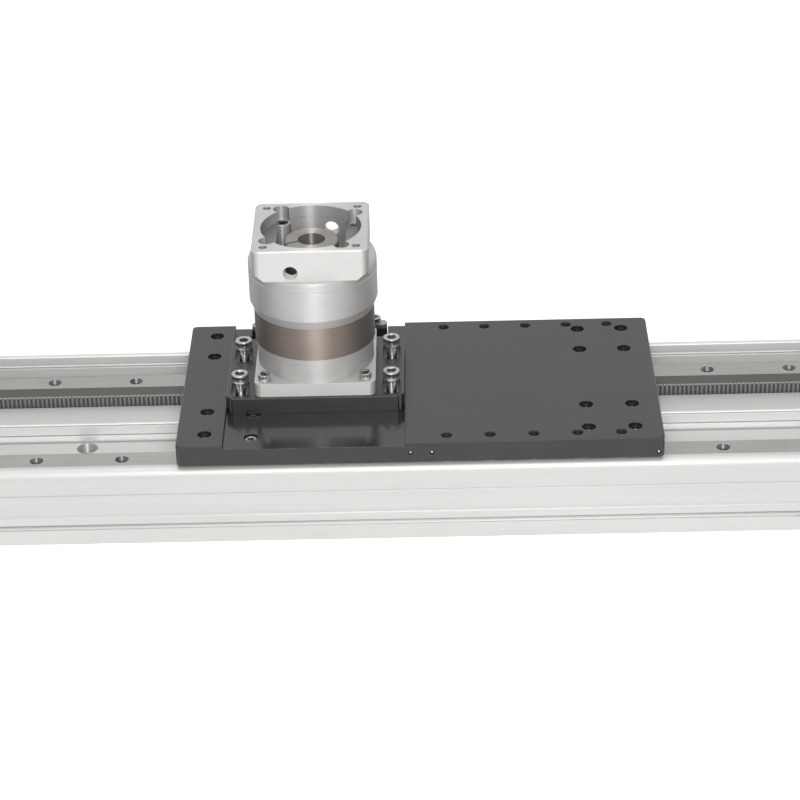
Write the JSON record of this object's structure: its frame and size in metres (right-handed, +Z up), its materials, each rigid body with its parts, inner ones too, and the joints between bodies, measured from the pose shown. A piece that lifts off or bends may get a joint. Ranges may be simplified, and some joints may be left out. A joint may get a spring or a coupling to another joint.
{
  "type": "linear module",
  "caption": "Rack-driven linear module: a carriage plate on guide rails over an extruded profile, with an upright planetary gearbox whose square flange and clamp hub take a motor.",
  "frame": {"origin": "on the underside of the profile, in the middle of its length and width", "axes": "+X along the profile to the right, +Y to the rear where the rack lies, +Z up along the gearbox"},
  "size_m": [0.804, 0.18, 0.1969],
  "materials": {
    "profile_aluminium": "satin natural anodised extrusion",
    "machined_aluminium": "turned and milled, bright",
    "black_aluminium": "black anodised, satin",
    "rail_steel": "ground",
    "rack_steel": "hardened, grey",
    "gear_steel": "machined",
    "bearing_steel": "ground and polished",
    "brown_steel": "nitrided, brown grey, turned",
    "screw_steel": "black oxide",
    "bright_screw_steel": "zinc plated",
    "plain_steel": "plain ground",
    "dull_steel": "drawn, dull grey",
    "cap_plastic": "matte moulded",
    "black_rubber": "matte",
    "bush_bronze": "bearing bronze, turned"
  },
  "bodies": {
    "base": {"base_profile": "profile_aluminium", "rail_front": "rail_steel", "rail_rear": "rail_steel", "rail_screws": "screw_steel", "rack": "rack_steel", "rack_screws": "screw_steel", "end_plate_left": "black_aluminium", "end_plate_right": "black_aluminium", "end_plate_screws": "screw_steel", "stop_bumpers": "black_rubber"},
    "carriage": {"carriage_plate": "black_aluminium", "block_screws": "screw_steel", "clamp_screws": "bright_screw_steel", "adjuster_bar": "black_aluminium", "adjuster_strip": "dull_steel", "adjuster_bar_screws": "bright_screw_steel", "jack_screws": "screw_steel", "jack_nuts": "screw_steel", "block_front_left": "rail_steel", "block_caps_front_left": "cap_plastic", "block_seals_front_left": "black_rubber", "block_front_right": "rail_steel", "block_caps_front_right": "cap_plastic", "block_seals_front_right": "black_rubber", "block_rear_left": "rail_steel", "block_caps_rear_left": "cap_plastic", "block_seals_rear_left": "black_rubber", "block_rear_right": "rail_steel", "block_caps_rear_right": "cap_plastic", "block_seals_rear_right": "black_rubber"},
    "gearbox": {"adapter_plate": "black_aluminium", "flange_screws": "bright_screw_steel", "output_housing": "machined_aluminium", "output_bearing_outer_rings": "bearing_steel", "shaft_seal": "black_rubber", "ring_gear": "brown_steel", "input_housing": "machined_aluminium", "input_bearing_outer_ring": "bearing_steel", "retaining_ring": "plain_steel", "motor_flange": "machined_aluminium", "tie_screws": "screw_steel"},
    "output_shaft": {"planet_carrier": "gear_steel", "planet_pins": "bearing_steel", "output_bearing_inner_rings": "bearing_steel", "pinion": "gear_steel", "pinion_key": "plain_steel", "pinion_washer": "plain_steel", "pinion_screw": "screw_steel"},
    "planet_1": {"planet_gear_1": "gear_steel", "planet_bush_1": "bush_bronze"},
    "planet_2": {"planet_gear_2": "gear_steel", "planet_bush_2": "bush_bronze"},
    "planet_3": {"planet_gear_3": "gear_steel", "planet_bush_3": "bush_bronze"},
    "input_shaft": {"input_hub": "gear_steel", "hub_clamp_screw": "screw_steel", "input_bearing_inner_ring": "bearing_steel"}
  },
  "joints": [
    {"name": "carriage_slide", "type": "slide", "parent": "base", "child": "carriage", "axis": [1, 0, 0], "range_m": [-0.1788, 0.2412]},
    {"name": "mesh_adjust", "type": "slide", "parent": "carriage", "child": "gearbox", "axis": [0, 1, 0], "range_m": [-0.002, 0]},
    {"name": "output_spin", "type": "hinge", "parent": "gearbox", "child": "output_shaft", "pos_m": [-0.1038, 0.0043, 0.1], "axis": [0, 0, 1], "continuous": true},
    {"name": "planet_spin_1", "type": "hinge", "parent": "output_shaft", "child": "planet_1", "pos_m": [-0.0858, 0.0043, 0.127], "axis": [0, 0, 1], "continuous": true},
    {"name": "planet_spin_2", "type": "hinge", "parent": "output_shaft", "child": "planet_2", "pos_m": [-0.1128, 0.01989, 0.127], "axis": [0, 0, 1], "continuous": true},
    {"name": "planet_spin_3", "type": "hinge", "parent": "output_shaft", "child": "planet_3", "pos_m": [-0.1128, -0.01129, 0.127], "axis": [0, 0, 1], "continuous": true},
    {"name": "input_spin", "type": "hinge", "parent": "gearbox", "child": "input_shaft", "pos_m": [-0.1038, 0.0043, 0.18], "axis": [0, 0, 1], "continuous": true}
  ],
  "couplings": [
    {"joint": "output_spin", "follows": "carriage_slide", "rad_per_m": 57.143},
    {"joint": "planet_spin_1", "follows": "carriage_slide", "rad_per_m": -171.43},
    {"joint": "planet_spin_2", "follows": "carriage_slide", "rad_per_m": -171.43},
    {"joint": "planet_spin_3", "follows": "carriage_slide", "rad_per_m": -171.43},
    {"joint": "input_spin", "follows": "carriage_slide", "rad_per_m": 228.57}
  ]
}
